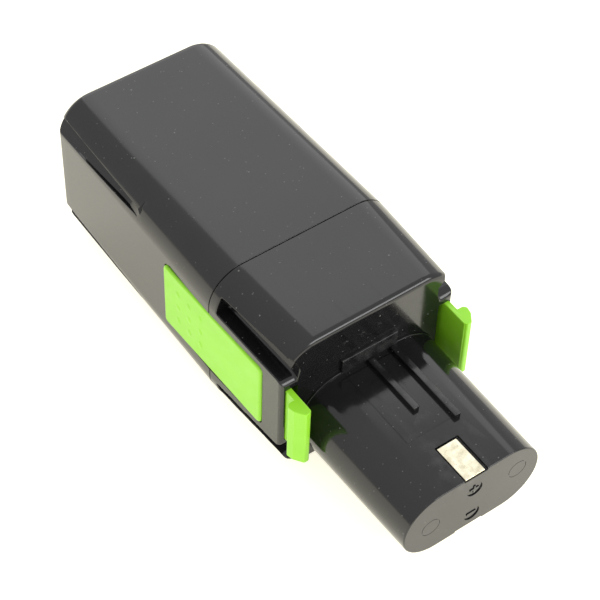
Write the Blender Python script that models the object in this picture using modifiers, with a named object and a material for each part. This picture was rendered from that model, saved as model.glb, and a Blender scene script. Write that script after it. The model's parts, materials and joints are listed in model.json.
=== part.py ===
"""Slide-in stick battery pack for a cordless drill.

Frame: origin at the bottom centre of the bounding box, +X along the pack towards the contact tower,
+Y to the right-hand latch, +Z up as the pack lies on its flat side. The helpers take millimetres,
with x counted from the pack's rear end; the empty "pack_frame" moves that zero to the origin.
"""
import math

import bmesh
import bpy
from mathutils import Matrix, Vector

MM = 0.001

# Driving dimensions, in millimetres
CELL_DIAMETER = 22.2
CELL_LENGTH = 43.0
CELL_PITCH = 22.6          # centre to centre, in the body's two by two stack
TOWER_CELL_Y = 11.8        # each tower cell's centre, to either side

SHOULDER_X = 129.0         # front face of the collar
SEAM_X = 92.0              # joint between the rear shell and the collar
TOWER_LENGTH = 52.5
TOTAL_LENGTH = SHOULDER_X + TOWER_LENGTH

REAR_HALF_WIDTH = 32.25
SEAM_HALF_WIDTH = 34.0
FRONT_HALF_WIDTH = 32.7
REAR_HEIGHT = 57.1
SEAM_HEIGHT = 58.0
FRONT_HEIGHT = 57.6
EDGE_RADIUS = 12.5         # the four long edges
REAR_EDGE_RADIUS = 4.0
SHOULDER_EDGE_RADIUS = 1.5
TIP_EDGE_RADIUS = 0.8
WALL = 2.2
FIT_GAP = 0.3

SPIGOT_X = 86.0            # the spigot that fits inside the rear shell
SPIGOT_HALF_WIDTH = 31.5
SPIGOT_Z = (2.5, 55.5)
SPIGOT_CORNER = 10.0

MID_Z = SEAM_HEIGHT / 2    # the latches and the stack are centred on this height
TOWER_Z = 20.7             # height of the tower's centre plane
TOWER_BASE_HALF = (26.6, 13.4)   # half width and half thickness at the shoulder
TOWER_TIP_HALF = (25.8, 13.1)
TOWER_WALL = 1.65
FLANGE_HALF = (26.7, 15.6)       # the step round the tower's foot
FLANGE_LENGTH = 0.8
BOSS_Y = (-10.9, 10.2)           # raised plate on the shoulder above the tower
BOSS_Z = (36.0, 41.8)
BOSS_LENGTH = 1.1
ROOM_FRONT_X = SHOULDER_X - 2.4  # where the collar's hollow ends

WINDOW_X = (66.6, 119.3)   # opening for the press panel, along the pack
WINDOW_Z = (15.2, 42.8)
ARM_Y = (29.1, 31.1)       # inner and outer face of the latch arm
HOOK_TIP_X = 139.0
BARB_X = 133.7
HOOK_HALF_HEIGHT = 12.1
PANEL_Y = (34.5, 33.7)     # the press panel's face, at its rear and its front
PLATE_X = (64.9, 121.5)    # retaining plate behind the window
PLATE_Z = (14.1, 43.9)

POST_X = 108.0             # guide posts, springs and carrier bores
POST_Z = (21.0, 37.0)
POST_RADIUS = 2.0
SPRING_RADIUS = 3.1
SPRING_WIRE = 0.8
SPRING_ANCHOR_Y = 21.3

SCREW_Y = 17.0             # carrier screws, to either side
SCREW_Z = 46.0
PILOT_RADIUS = 1.75

RIBS = ((0.0, 24.0), (8.7, 33.0))   # side position and length of the tower's two keying ribs
RIB_HALF_WIDTH = 1.1
RIB_HEIGHTS = (12.5, 15.1)          # from the tower's centre plane

CONTACT_X = 167.5          # rear end of the contact strips, where they fold inside
CONTACT_HALF_WIDTH = 3.65
CONTACT_THICKNESS = 0.5
CONTACT_DEPTH = 12.45      # from the tower's centre plane to the strip
RECESS_HALF_WIDTH = 4.1
SLOT_LENGTH = 1.6

STACK_Y = CELL_PITCH / 2
LAYER_X = (5.0, 48.7)      # rear end of each layer in the body
TOWER_CELL_X = 131.3       # rear end of the tower cells
LINK = 0.3                 # thickness of the nickel strip
LINK_HALF_WIDTH = 3.5
LEAD_DIAMETER = 2.0

BLACK = (0.012, 0.012, 0.013)
LIME = (0.30, 0.85, 0.05)


# ---------------------------------------------------------------- scene and helpers

for old in list(bpy.data.objects):
    bpy.data.objects.remove(old, do_unlink=True)

parts = bpy.data.collections.new("stick_battery_pack")
cutters = bpy.data.collections.new("cutters")
for group in (parts, cutters):
    bpy.context.scene.collection.children.link(group)

pack_frame = bpy.data.objects.new("pack_frame", None)
pack_frame.location = (-TOTAL_LENGTH / 2 * MM, 0, 0)
parts.objects.link(pack_frame)


def material(name, colour, roughness, metallic=0.0):
    mat = bpy.data.materials.new(name)
    mat.use_nodes = True
    shader = mat.node_tree.nodes["Principled BSDF"]
    shader.inputs["Base Color"].default_value = (*colour, 1)
    shader.inputs["Roughness"].default_value = roughness
    shader.inputs["Metallic"].default_value = metallic
    return mat


GLOSS_BLACK = material("gloss_black_abs", BLACK, 0.18)
LIME_POM = material("lime_pom", LIME, 0.4)
CARRIER_GREY = material("carrier_nylon", (0.08, 0.08, 0.09), 0.5)
NICKEL = material("nickel_plate", (0.66, 0.62, 0.54), 0.3, 1.0)
STEEL = material("spring_steel", (0.45, 0.45, 0.46), 0.3, 1.0)
SLEEVE = material("cell_sleeve", (0.05, 0.16, 0.34), 0.35)
FOAM = material("rear_foam", (0.06, 0.06, 0.06), 0.95)
CARD = material("fish_paper", (0.62, 0.55, 0.36), 0.8)
RED = material("red_insulation", (0.5, 0.02, 0.02), 0.45)
BLACK_WIRE = material("black_insulation", (0.02, 0.02, 0.025), 0.45)


def add_object(name, data, mat=None, group=parts):
    obj = bpy.data.objects.new(name, data)
    obj.parent = pack_frame
    group.objects.link(obj)
    if mat is not None:
        data.materials.append(mat)
    if group is cutters:
        obj.hide_render = True
        obj.display_type = "WIRE"
    return obj


def mesh_from(bm, name):
    bmesh.ops.recalc_face_normals(bm, faces=bm.faces)
    mesh = bpy.data.meshes.new(name)
    bm.to_mesh(mesh)
    bm.free()
    return mesh


def smooth(obj, angle=35):
    obj.data.shade_smooth()
    obj.data.set_sharp_from_angle(angle=math.radians(angle))
    return obj


def box(name, low, high, mat=None, group=parts, round_edges=0.0):
    """A box between two corners, in millimetres, with its edges rounded when asked."""
    bm = bmesh.new()
    bmesh.ops.create_cube(bm, size=1)
    for vert in bm.verts:
        for axis in range(3):
            vert.co[axis] = (low[axis] if vert.co[axis] < 0 else high[axis]) * MM
    obj = add_object(name, mesh_from(bm, name), mat, group)
    if round_edges:
        bevel = obj.modifiers.new("rounded edges", "BEVEL")
        bevel.width = round_edges * MM
        bevel.segments = 2
    return obj


def cylinder(name, start, end, radius, mat=None, group=parts, segments=24):
    """A round bar between two points, in millimetres."""
    start, end = Vector(start) * MM, Vector(end) * MM
    along = end - start
    bm = bmesh.new()
    bmesh.ops.create_cone(bm, cap_ends=True, segments=segments, radius1=radius * MM,
                          radius2=radius * MM, depth=along.length)
    turn = Vector((0, 0, 1)).rotation_difference(along).to_matrix()
    bmesh.ops.rotate(bm, verts=bm.verts, matrix=turn)
    bmesh.ops.translate(bm, verts=bm.verts, vec=(start + end) / 2)
    return smooth(add_object(name, mesh_from(bm, name), mat, group))


def loft(name, rings, mat=None, group=parts, open_end=False):
    """A solid, or a cup when open_end is set, through rings that have equal point counts."""
    bm = bmesh.new()
    loops = [[bm.verts.new(Vector(point) * MM) for point in ring] for ring in rings]
    count = len(rings[0])
    for first, second in zip(loops, loops[1:]):
        for i in range(count):
            j = (i + 1) % count
            bm.faces.new((first[i], first[j], second[j], second[i]))
    bm.faces.new(loops[0])
    if not open_end:
        bm.faces.new(loops[-1])
    return smooth(add_object(name, mesh_from(bm, name), mat, group))


def boolean(target, tool, operation="DIFFERENCE"):
    step = target.modifiers.new(f"{operation.lower()} {tool.name}", "BOOLEAN")
    step.operation = operation
    step.object = tool
    return target


def cut(target, *tools):
    for tool in tools:
        boolean(target, tool)


def join(target, *tools):
    for tool in tools:
        boolean(target, tool, "UNION")


def rounded_ring(x, half_width, bottom, top, radius, steps=6):
    """A rounded rectangle across the pack, counter-clockwise seen from the front."""
    ring = []
    corners = ((1, 1, 0), (-1, 1, 90), (-1, -1, 180), (1, -1, 270))
    for side, level, start in corners:
        centre_y = side * (half_width - radius)
        centre_z = top - radius if level > 0 else bottom + radius
        for step in range(steps + 1):
            angle = math.radians(start + 90 * step / steps)
            ring.append((x, centre_y + radius * math.cos(angle), centre_z + radius * math.sin(angle)))
    return ring


def stadium_ring(x, half_width, half_height, centre_z=TOWER_Z, steps=14):
    """A round-ended slot outline across the pack."""
    ring = []
    for side, start in ((1, -90), (-1, 90)):
        centre_y = side * (half_width - half_height)
        for step in range(steps + 1):
            angle = math.radians(start + 180 * step / steps)
            ring.append((x, centre_y + half_height * math.cos(angle),
                         centre_z + half_height * math.sin(angle)))
    return ring


def mix(start, end, share):
    return start + (end - start) * share


def half_width_at(x):
    """The housing is widest at the seam, because both mouldings taper away from it."""
    if x <= SEAM_X:
        return mix(REAR_HALF_WIDTH, SEAM_HALF_WIDTH, x / SEAM_X)
    return mix(SEAM_HALF_WIDTH, FRONT_HALF_WIDTH, (x - SEAM_X) / (SHOULDER_X - SEAM_X))


def height_at(x):
    if x <= SEAM_X:
        return mix(REAR_HEIGHT, SEAM_HEIGHT, x / SEAM_X)
    return mix(SEAM_HEIGHT, FRONT_HEIGHT, (x - SEAM_X) / (SHOULDER_X - SEAM_X))


def body_ring(x, inset=0.0):
    return rounded_ring(x, half_width_at(x) - inset, inset, height_at(x) - inset, EDGE_RADIUS - inset)


def tower_ring(x, inset=0.0):
    share = (x - SHOULDER_X) / TOWER_LENGTH
    half_width = mix(TOWER_BASE_HALF[0], TOWER_TIP_HALF[0], share) - inset
    half_height = mix(TOWER_BASE_HALF[1], TOWER_TIP_HALF[1], share) - inset
    return stadium_ring(x, half_width, half_height)


def edge_steps(radius, count=3):
    """Distance from the end face and inset, for each ring of a rounded edge, ending at the end face."""
    for step in range(count + 1):
        angle = math.radians(90 * step / count)
        yield radius * (1 - math.sin(angle)), radius * (1 - math.cos(angle))


def side_label(side):
    return "right" if side > 0 else "left"


def wire(name, points, diameter, mat, resolution=2):
    curve = bpy.data.curves.new(name, "CURVE")
    curve.dimensions = "3D"
    curve.bevel_depth = diameter / 2 * MM
    curve.bevel_resolution = resolution
    curve.use_fill_caps = True
    spline = curve.splines.new("POLY")
    spline.points.add(len(points) - 1)
    for spot, point in zip(spline.points, points):
        spot.co = (*(Vector(point) * MM), 1)
    return add_object(name, curve, mat)


def smooth_route(corners, count=16):
    """Points along a smooth curve through the given corners."""
    route = []
    spans = len(corners) - 1
    padded = [corners[0], *corners, corners[-1]]
    for step in range(count + 1):
        place = spans * step / count
        index = min(int(place), spans - 1)
        t = place - index
        p0, p1, p2, p3 = (Vector(padded[index + k]) for k in range(4))
        route.append(0.5 * (2 * p1 + (p2 - p0) * t + (2 * p0 - 5 * p1 + 4 * p2 - p3) * t * t
                            + (3 * p1 - p0 - 3 * p2 + p3) * t ** 3))
    return route


# ---------------------------------------------------------------- housings

def button_window(side):
    faces = sorted((side * (ARM_Y[0] - 0.1), side * (SEAM_HALF_WIDTH + 4)))
    return box(f"window_cut_{side_label(side)}", (WINDOW_X[0], faces[0], WINDOW_Z[0]),
               (WINDOW_X[1], faces[1], WINDOW_Z[1]), group=cutters)


def make_rear_shell(windows):
    """A tapered cup, open at the seam, with a rounded rear edge."""
    rings = [body_ring(distance, inset) for distance, inset in edge_steps(REAR_EDGE_RADIUS, 4)]
    rings.reverse()
    rings.append(body_ring(SEAM_X - FIT_GAP / 2))
    shell = loft("rear_shell", rings, GLOSS_BLACK, open_end=True)
    skin = shell.modifiers.new("wall", "SOLIDIFY")
    skin.thickness = WALL * MM
    skin.offset = -1
    skin.use_even_offset = True
    cut(shell, *windows)
    return shell


def guide_channel(side, level):
    """An undercut V groove along one long edge, open at the shoulder and out to the side."""
    def section(x, roof_y, roof_z, mouth_z):
        outline = ((38.0, 46.8), (29.3, 46.8), (26.3, 49.3), (26.5, 50.8), (roof_y, roof_z),
                   (38.0, mouth_z))
        return [(x, side * y, MID_Z + level * (z - MID_Z)) for y, z in outline]

    name = f"channel_cut_{side_label(side)}_{'top' if level > 0 else 'bottom'}"
    rings = [section(95.8, 31.6, 53.0, 57.0), section(SHOULDER_X + 3, 30.4, 55.5, 63.0)]
    return loft(name, rings, group=cutters)


def hook_slot(side):
    """The opening in the shoulder that the latch arm comes through."""
    faces = sorted((side * (ARM_Y[0] - 2.3), side * (ARM_Y[1] + FIT_GAP)))
    return box(f"hook_slot_{side_label(side)}",
               (SHOULDER_X - 5, faces[0], MID_Z - HOOK_HALF_HEIGHT - FIT_GAP),
               (SHOULDER_X + 3, faces[1], MID_Z + HOOK_HALF_HEIGHT + FIT_GAP), group=cutters)


def contact_cuts(level):
    """The recess that a contact strip lies in, and the slot through the wall at its rear end."""
    label = "top" if level > 0 else "bottom"
    rear_x = CONTACT_X - 0.5
    cuts = []
    for name, end_x, depth in (("recess", TOTAL_LENGTH + 1, 12.15), ("slot", rear_x + SLOT_LENGTH, 10.0)):
        heights = sorted((TOWER_Z + level * depth, TOWER_Z + level * 15.0))
        cuts.append(box(f"contact_{name}_{label}", (rear_x, -RECESS_HALF_WIDTH, heights[0]),
                        (end_x, RECESS_HALF_WIDTH, heights[1]), group=cutters))
    return cuts


def make_rooms():
    """The hollows in the collar, its spigot and the tower. The collar's is a cross, clear of the channels."""
    half = [(24, 2.6), (24, 13.6), (31.5, 13.6), (31.5, 44.4), (24, 44.4), (24, 55.2)]
    cross = half + [(-y, z) for y, z in reversed(half)]
    trimmed = [(y, min(max(z, SPIGOT_Z[0] + 2.1), SPIGOT_Z[1] - 2.1)) for y, z in cross]
    collar = loft("collar_room", [[(x, y, z) for y, z in cross] for x in (93.0, ROOM_FRONT_X)],
                  group=cutters)
    spigot = loft("spigot_room", [[(x, y, z) for y, z in trimmed] for x in (SPIGOT_X - 2, 93.5)],
                  group=cutters)
    tower = loft("tower_room", [tower_ring(x, TOWER_WALL) for x in (120.0, TOTAL_LENGTH - 1.9)],
                 group=cutters)
    return collar, spigot, tower


def make_front_housing(windows):
    """Collar and contact tower in one moulding, with the spigot that fits the rear shell."""
    rings = [body_ring(SEAM_X + FIT_GAP / 2)]
    for distance, inset in edge_steps(SHOULDER_EDGE_RADIUS):
        rings.append(body_ring(SHOULDER_X - distance, inset))
    housing = loft("front_housing", rings, GLOSS_BLACK)

    spigot = loft("spigot", [rounded_ring(x, SPIGOT_HALF_WIDTH, *SPIGOT_Z, SPIGOT_CORNER)
                             for x in (SPIGOT_X, SEAM_X + 1)], group=cutters)
    tower_rings = [tower_ring(ROOM_FRONT_X)]
    for distance, inset in edge_steps(TIP_EDGE_RADIUS):
        tower_rings.append(tower_ring(TOTAL_LENGTH - distance, inset))
    tower = loft("tower", tower_rings, group=cutters)
    flange = loft("tower_flange", [stadium_ring(SHOULDER_X + x, *FLANGE_HALF) for x in (-1, FLANGE_LENGTH)],
                  group=cutters)
    boss = box("shoulder_boss", (SHOULDER_X - 1, BOSS_Y[0], BOSS_Z[0]),
               (SHOULDER_X + BOSS_LENGTH, BOSS_Y[1], BOSS_Z[1]), group=cutters)
    join(housing, spigot, tower, flange, boss)
    for number, (rib_y, length) in enumerate(RIBS, 1):
        join(housing, box(f"rib_{number}",
                          (SHOULDER_X - 1, rib_y - RIB_HALF_WIDTH, TOWER_Z + RIB_HEIGHTS[0]),
                          (SHOULDER_X + length, rib_y + RIB_HALF_WIDTH, TOWER_Z + RIB_HEIGHTS[1]),
                          group=cutters))

    cut(housing, *make_rooms(), *windows)
    for side in (1, -1):
        cut(housing, guide_channel(side, 1), guide_channel(side, -1), hook_slot(side))
        centre = (side * SCREW_Y, SCREW_Z)
        join(housing, cylinder(f"screw_boss_{side_label(side)}", (104.0, *centre),
                               (SHOULDER_X - 1.5, *centre), 3.2, group=cutters))
        cut(housing, cylinder(f"pilot_{side_label(side)}", (100.0, *centre), (114.0, *centre),
                              PILOT_RADIUS, group=cutters, segments=16))
    cut(housing, *contact_cuts(1), *contact_cuts(-1))
    return housing


# ---------------------------------------------------------------- latches and their carrier

def make_latch(side):
    """Press panel, retaining plate, arm, barbed hook and two guide posts in one moulding."""
    label = side_label(side)
    plate_y = sorted((side * ARM_Y[0], side * ARM_Y[1]))
    low_z, high_z = MID_Z - HOOK_HALF_HEIGHT, MID_Z + HOOK_HALF_HEIGHT
    latch = box(f"latch_{label}", (PLATE_X[0], plate_y[0], PLATE_Z[0]),
                (PLATE_X[1], plate_y[1], PLATE_Z[1]), LIME_POM)

    rear, front = WINDOW_X[0] + FIT_GAP, WINDOW_X[1] - FIT_GAP
    bottom, top = WINDOW_Z[0] + FIT_GAP, WINDOW_Z[1] - FIT_GAP
    inner = side * (ARM_Y[1] - 1)

    def panel_ring(inset, sink):
        corners = ((rear + inset, PANEL_Y[0]), (front - inset, PANEL_Y[1]))
        ring = [(x, side * (y - sink), bottom + inset) for x, y in corners]
        return ring + [(x, side * (y - sink), top - inset) for x, y in reversed(corners)]

    base = [(x, inner, z) for x, z in ((rear, bottom), (front, bottom), (front, top), (rear, top))]
    panel = loft(f"panel_{label}", [base, panel_ring(0, 1.0), panel_ring(0.3, 0.3), panel_ring(1.0, 0)],
                 group=cutters)
    arm = box(f"arm_{label}", (118.0, plate_y[0], low_z), (HOOK_TIP_X, plate_y[1], high_z), group=cutters)
    barb_outline = ((BARB_X, 30.0), (HOOK_TIP_X, 30.0), (HOOK_TIP_X, 31.1), (136.4, 33.3), (134.3, 33.4),
                    (BARB_X, 32.8))
    barb = loft(f"barb_{label}", [[(x, side * y, z) for x, y in barb_outline] for z in (low_z, high_z)],
                group=cutters)
    join(latch, panel, arm, barb)
    for level, height in zip(("low", "high"), POST_Z):
        post = cylinder(f"post_{label}_{level}", (POST_X, side * (ARM_Y[0] + 1), height),
                        (POST_X, side * 17.2, height), POST_RADIUS, group=cutters)
        join(latch, post)

    return move_origin(latch, (sum(WINDOW_X) / 2, side * 34.0, MID_Z))


def move_origin(obj, point):
    """Put an object's origin on its joint without moving its mesh."""
    origin = Vector(point) * MM
    obj.data.transform(Matrix.Translation(-origin))
    obj.location = origin
    return obj


def make_carrier():
    """A frame inside the collar that guides the latch posts and backs their springs."""
    carrier = box("latch_carrier", (101.0, -23.0, 5.0), (103.5, 23.0, 52.6), CARRIER_GREY)
    window = box("carrier_window", (99.0, -13.0, 9.0), (118.0, 13.0, 49.0), group=cutters)
    for side in (1, -1):
        faces = sorted((side * 15.0, side * 21.0))
        label = side_label(side)
        join(carrier, box(f"carrier_block_{label}", (102.0, faces[0], 15.5), (114.0, faces[1], 41.5),
                          group=cutters))
        cut(carrier, cylinder(f"carrier_screw_hole_{label}", (99.0, side * SCREW_Y, SCREW_Z),
                              (105.0, side * SCREW_Y, SCREW_Z), PILOT_RADIUS, group=cutters, segments=16))
    cut(carrier, window)
    for level, height in zip(("low", "high"), POST_Z):
        cut(carrier, cylinder(f"post_bore_{level}", (POST_X, -23.0, height), (POST_X, 23.0, height),
                              POST_RADIUS + FIT_GAP, group=cutters))
    return carrier


def make_latch_spring(side, level, height):
    """A compression coil round one guide post, between the carrier and the latch plate."""
    turns, per_turn = 5, 10
    start, end = SPRING_ANCHOR_Y + SPRING_WIRE / 2, ARM_Y[0] - FIT_GAP - SPRING_WIRE / 2
    points = []
    for step in range(turns * per_turn + 1):
        angle = 2 * math.pi * step / per_turn
        y = mix(start, end, step / (turns * per_turn))
        points.append((POST_X + SPRING_RADIUS * math.cos(angle), side * y,
                       height + SPRING_RADIUS * math.sin(angle)))
    return wire(f"latch_spring_{side_label(side)}_{level}", points, SPRING_WIRE, STEEL)


def make_carrier_screw(side):
    """A pan head self-tapping screw from the rear, through the carrier into its boss."""
    label = side_label(side)
    centre = (side * SCREW_Y, SCREW_Z)
    screw = cylinder(f"carrier_screw_{label}", (98.7, *centre), (100.7, *centre), 2.8, STEEL)
    shank = cylinder(f"shank_{label}", (100.0, *centre), (112.0, *centre), 1.45, group=cutters, segments=16)
    slot = box(f"driver_slot_{label}", (98.0, centre[0] - 2.0, centre[1] - 0.4),
               (99.6, centre[0] + 2.0, centre[1] + 0.4), group=cutters)
    join(screw, shank)
    cut(screw, slot)
    return screw


# ---------------------------------------------------------------- cells and wiring

def cell_profile():
    """Half outline of a round cell, from the centre of its raised contact down the side to its base."""
    radius, length = CELL_DIAMETER / 2, CELL_LENGTH
    outline = [(0, length), (4.2, length), (4.2, length - 0.9), (9.6, length - 0.9), (10.2, length - 0.4),
               (radius, length - 0.9), (radius, length - 2.2), (radius - 0.6, length - 2.9),
               (radius, length - 3.6), (radius, 0.4), (radius - 0.4, 0), (0, 0)]
    bm = bmesh.new()
    line = [bm.verts.new(Vector((r, 0, z)) * MM) for r, z in outline]
    for first, second in zip(line, line[1:]):
        bm.edges.new((first, second))
    mesh = bpy.data.meshes.new("cell_profile")
    bm.to_mesh(mesh)
    bm.free()
    mesh.materials.append(SLEEVE)
    return mesh


def make_cell(number, profile, base, towards_front):
    """One round cell whose base stands at a point, lying along the pack."""
    cell = add_object(f"cell_{number:02d}", profile)
    cell.location = Vector(base) * MM
    cell.rotation_euler = (0, math.radians(90 if towards_front else -90), 0)
    turn = cell.modifiers.new("turned", "SCREW")
    turn.axis = "Z"
    turn.angle = 2 * math.pi
    turn.steps = 20
    turn.render_steps = 20
    turn.use_merge_vertices = True
    turn.merge_threshold = 0.00001
    return cell


def make_cells():
    """Eight cells in the body, in four lines of two, and two side by side in the tower."""
    profile = cell_profile()
    number = 0
    for side, level, forward in ((-1, 1, True), (-1, -1, False), (1, -1, True), (1, 1, False)):
        for layer in LAYER_X:
            number += 1
            start = layer if forward else layer + CELL_LENGTH
            make_cell(number, profile, (start, side * STACK_Y, MID_Z + level * STACK_Y), forward)
    for side, forward in ((-1, False), (1, True)):
        number += 1
        start = TOWER_CELL_X if forward else TOWER_CELL_X + CELL_LENGTH
        make_cell(number, profile, (start, side * TOWER_CELL_Y, TOWER_Z), forward)


def make_links():
    """Nickel strips that put the body cells in series, with a tab at each end of the stack."""
    def strip(name, x, y_range, z_range):
        box(name, (x, y_range[0], z_range[0]), (x + LINK, y_range[1], z_range[1]), NICKEL)

    def tab(name, x, y, z):
        strip(name, x, (y - LINK_HALF_WIDTH, y + LINK_HALF_WIDTH), (z - 6, z + 6))

    low_z, high_z = MID_Z - STACK_Y, MID_Z + STACK_Y
    middle_x = (LAYER_X[0] + CELL_LENGTH + LAYER_X[1] - LINK) / 2
    for letter, side, height in (("a", -1, high_z), ("b", -1, low_z), ("c", 1, low_z), ("d", 1, high_z)):
        tab(f"middle_link_{letter}", middle_x, side * STACK_Y, height)
    for side, label in ((-1, "left"), (1, "right")):
        strip(f"rear_link_{label}", LAYER_X[0] - FIT_GAP - LINK,
              (side * STACK_Y - LINK_HALF_WIDTH, side * STACK_Y + LINK_HALF_WIDTH), (low_z - 5, high_z + 5))
    front_x = LAYER_X[1] + CELL_LENGTH + FIT_GAP
    strip("front_link", front_x, (-STACK_Y - 5, STACK_Y + 5),
          (low_z - LINK_HALF_WIDTH, low_z + LINK_HALF_WIDTH))
    for side, label in ((-1, "negative"), (1, "positive")):
        tab(f"stack_tab_{label}", front_x, side * STACK_Y, high_z)
        tab(f"tower_tab_{label}", TOWER_CELL_X - FIT_GAP - LINK, side * TOWER_CELL_Y, TOWER_Z)


def make_insulators():
    """Foam behind the stack, a board in front of it, and a card between the tower cells."""
    box("rear_foam_pad", (2.6, -22.0, 7.0), (4.1, 22.0, 51.0), FOAM)
    board = box("front_insulator_board", (93.6, -23.2, 5.4), (94.4, 23.2, 52.6), CARD)
    for side, label in ((-1, "negative"), (1, "positive")):
        cut(board, cylinder(f"board_hole_{label}", (92.0, side * STACK_Y, MID_Z + STACK_Y),
                            (96.0, side * STACK_Y, MID_Z + STACK_Y), 1.6, group=cutters, segments=16))
    box("tower_divider", (TOWER_CELL_X, -0.25, TOWER_Z - 8.3),
        (TOWER_CELL_X + CELL_LENGTH, 0.25, TOWER_Z + 8.3), CARD)


def make_leads():
    """The stack's two ends run to the tower cells, the positive one through a thermal cut-out."""
    start_x = LAYER_X[1] + CELL_LENGTH + LINK + 2 * FIT_GAP
    end_x = TOWER_CELL_X - LINK - 2 * FIT_GAP
    tab_z = MID_Z + STACK_Y
    box("thermal_cutout", (105.0, 5.0, 33.5), (118.0, 11.5, 38.0), STEEL, round_edges=0.6)
    wire("lead_negative", smooth_route([(start_x, -STACK_Y, tab_z), (96.5, -STACK_Y, tab_z),
                                        (107.0, -9.5, 38.0), (119.0, -9.5, 26.0), (126.5, -11.4, 21.0),
                                        (end_x, -TOWER_CELL_Y, TOWER_Z)]), LEAD_DIAMETER, BLACK_WIRE)
    wire("lead_positive_rear", smooth_route([(start_x, STACK_Y, tab_z), (96.5, STACK_Y, tab_z),
                                             (101.0, 9.4, 37.3), (104.7, 8.3, 35.8)], 10),
         LEAD_DIAMETER, RED)
    wire("lead_positive_front", smooth_route([(118.3, 8.3, 35.8), (121.0, 8.6, 34.0), (124.5, 10.4, 25.0),
                                              (127.5, 11.5, 21.2), (end_x, TOWER_CELL_Y, TOWER_Z)], 12),
         LEAD_DIAMETER, RED)


def make_contact(level, side, name):
    """A plated strip in the tower's recess that folds inside and reaches its cell's front end."""
    def slab(label, x_range, y_range, depths, mat=None, group=cutters):
        heights = sorted(TOWER_Z + level * depth for depth in depths)
        return box(label, (x_range[0], y_range[0], heights[0]), (x_range[1], y_range[1], heights[1]),
                   mat, group)

    width = (-CONTACT_HALF_WIDTH, CONTACT_HALF_WIDTH)
    tab_x = TOWER_CELL_X + CELL_LENGTH + 0.4
    tab_end_x = tab_x + CONTACT_THICKNESS
    folded = (8.7, 8.7 + CONTACT_THICKNESS)
    strip = slab(name, (CONTACT_X, TOTAL_LENGTH - FIT_GAP), width,
                 (CONTACT_DEPTH, CONTACT_DEPTH + CONTACT_THICKNESS), NICKEL, parts)
    leg = slab(f"{name}_leg", (CONTACT_X, CONTACT_X + CONTACT_THICKNESS), width, (folded[0], 12.7))
    inner = slab(f"{name}_inner", (CONTACT_X, tab_end_x), width, folded)
    reach = sorted((-side * CONTACT_HALF_WIDTH, side * 12.0))
    tab = slab(f"{name}_tab", (tab_x, tab_end_x), reach, (1.0, folded[1]))
    join(strip, leg, inner, tab)
    return strip


window_cuts = [button_window(side) for side in (1, -1)]
make_rear_shell(window_cuts)
make_front_housing(window_cuts)
for latch_side in (1, -1):
    make_latch(latch_side)
    make_carrier_screw(latch_side)
    for spring_level, spring_height in zip(("low", "high"), POST_Z):
        make_latch_spring(latch_side, spring_level, spring_height)
make_carrier()
make_cells()
make_links()
make_insulators()
make_leads()
make_contact(1, 1, "contact_positive")
make_contact(-1, -1, "contact_negative")
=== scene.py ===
"""The looks of the slide-in battery pack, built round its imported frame.

Shapes are worked out in millimetres, with x counted from the pack's rear end, y to the right-hand latch and
z from the flat side that the pack lies on. at() turns such a point into the frame's metres.
"""
import json
import math

import bmesh
import bpy
from mathutils import Matrix, Vector


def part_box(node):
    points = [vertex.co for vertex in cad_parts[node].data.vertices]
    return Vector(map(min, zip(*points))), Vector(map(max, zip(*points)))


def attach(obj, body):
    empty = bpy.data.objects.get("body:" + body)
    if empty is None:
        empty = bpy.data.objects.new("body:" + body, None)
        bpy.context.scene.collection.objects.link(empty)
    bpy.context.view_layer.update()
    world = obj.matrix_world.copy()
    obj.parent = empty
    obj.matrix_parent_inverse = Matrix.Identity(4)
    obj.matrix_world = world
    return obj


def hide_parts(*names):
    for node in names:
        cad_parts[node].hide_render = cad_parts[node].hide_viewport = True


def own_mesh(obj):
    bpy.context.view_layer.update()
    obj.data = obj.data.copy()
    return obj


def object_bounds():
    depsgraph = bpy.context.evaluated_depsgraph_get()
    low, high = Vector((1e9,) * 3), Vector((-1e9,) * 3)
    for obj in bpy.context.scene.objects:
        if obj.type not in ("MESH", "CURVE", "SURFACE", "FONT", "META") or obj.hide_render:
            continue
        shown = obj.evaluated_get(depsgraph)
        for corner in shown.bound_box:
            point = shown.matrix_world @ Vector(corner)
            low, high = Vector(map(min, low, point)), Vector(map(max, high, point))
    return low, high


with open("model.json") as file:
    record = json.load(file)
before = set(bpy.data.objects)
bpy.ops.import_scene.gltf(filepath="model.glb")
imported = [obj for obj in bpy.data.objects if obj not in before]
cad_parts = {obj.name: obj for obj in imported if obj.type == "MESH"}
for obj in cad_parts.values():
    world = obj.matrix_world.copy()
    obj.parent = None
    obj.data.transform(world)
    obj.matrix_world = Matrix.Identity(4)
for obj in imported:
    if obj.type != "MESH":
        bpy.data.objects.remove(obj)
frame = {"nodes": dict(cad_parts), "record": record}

MM = 0.001
CAD_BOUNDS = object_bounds()
MOUNTS = {mount["name"]: Vector(mount["pos_m"]) for mount in frame["record"]["mounts"]}
REAR_X = CAD_BOUNDS[0].x


def millimetres(point):
    return (Vector(point) - Vector((REAR_X, 0, 0))) / MM


def at(point):
    return Vector(point) * MM + Vector((REAR_X, 0, 0))


# ---------------------------------------------------------------- sizes read from the frame

SHELL_HIGH = millimetres(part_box("rear_shell")[1])
LATCH_HIGH = millimetres(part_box("latch_right")[1])
CONTACT_LOW, CONTACT_HIGH = (millimetres(corner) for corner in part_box("contact_positive"))

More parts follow.
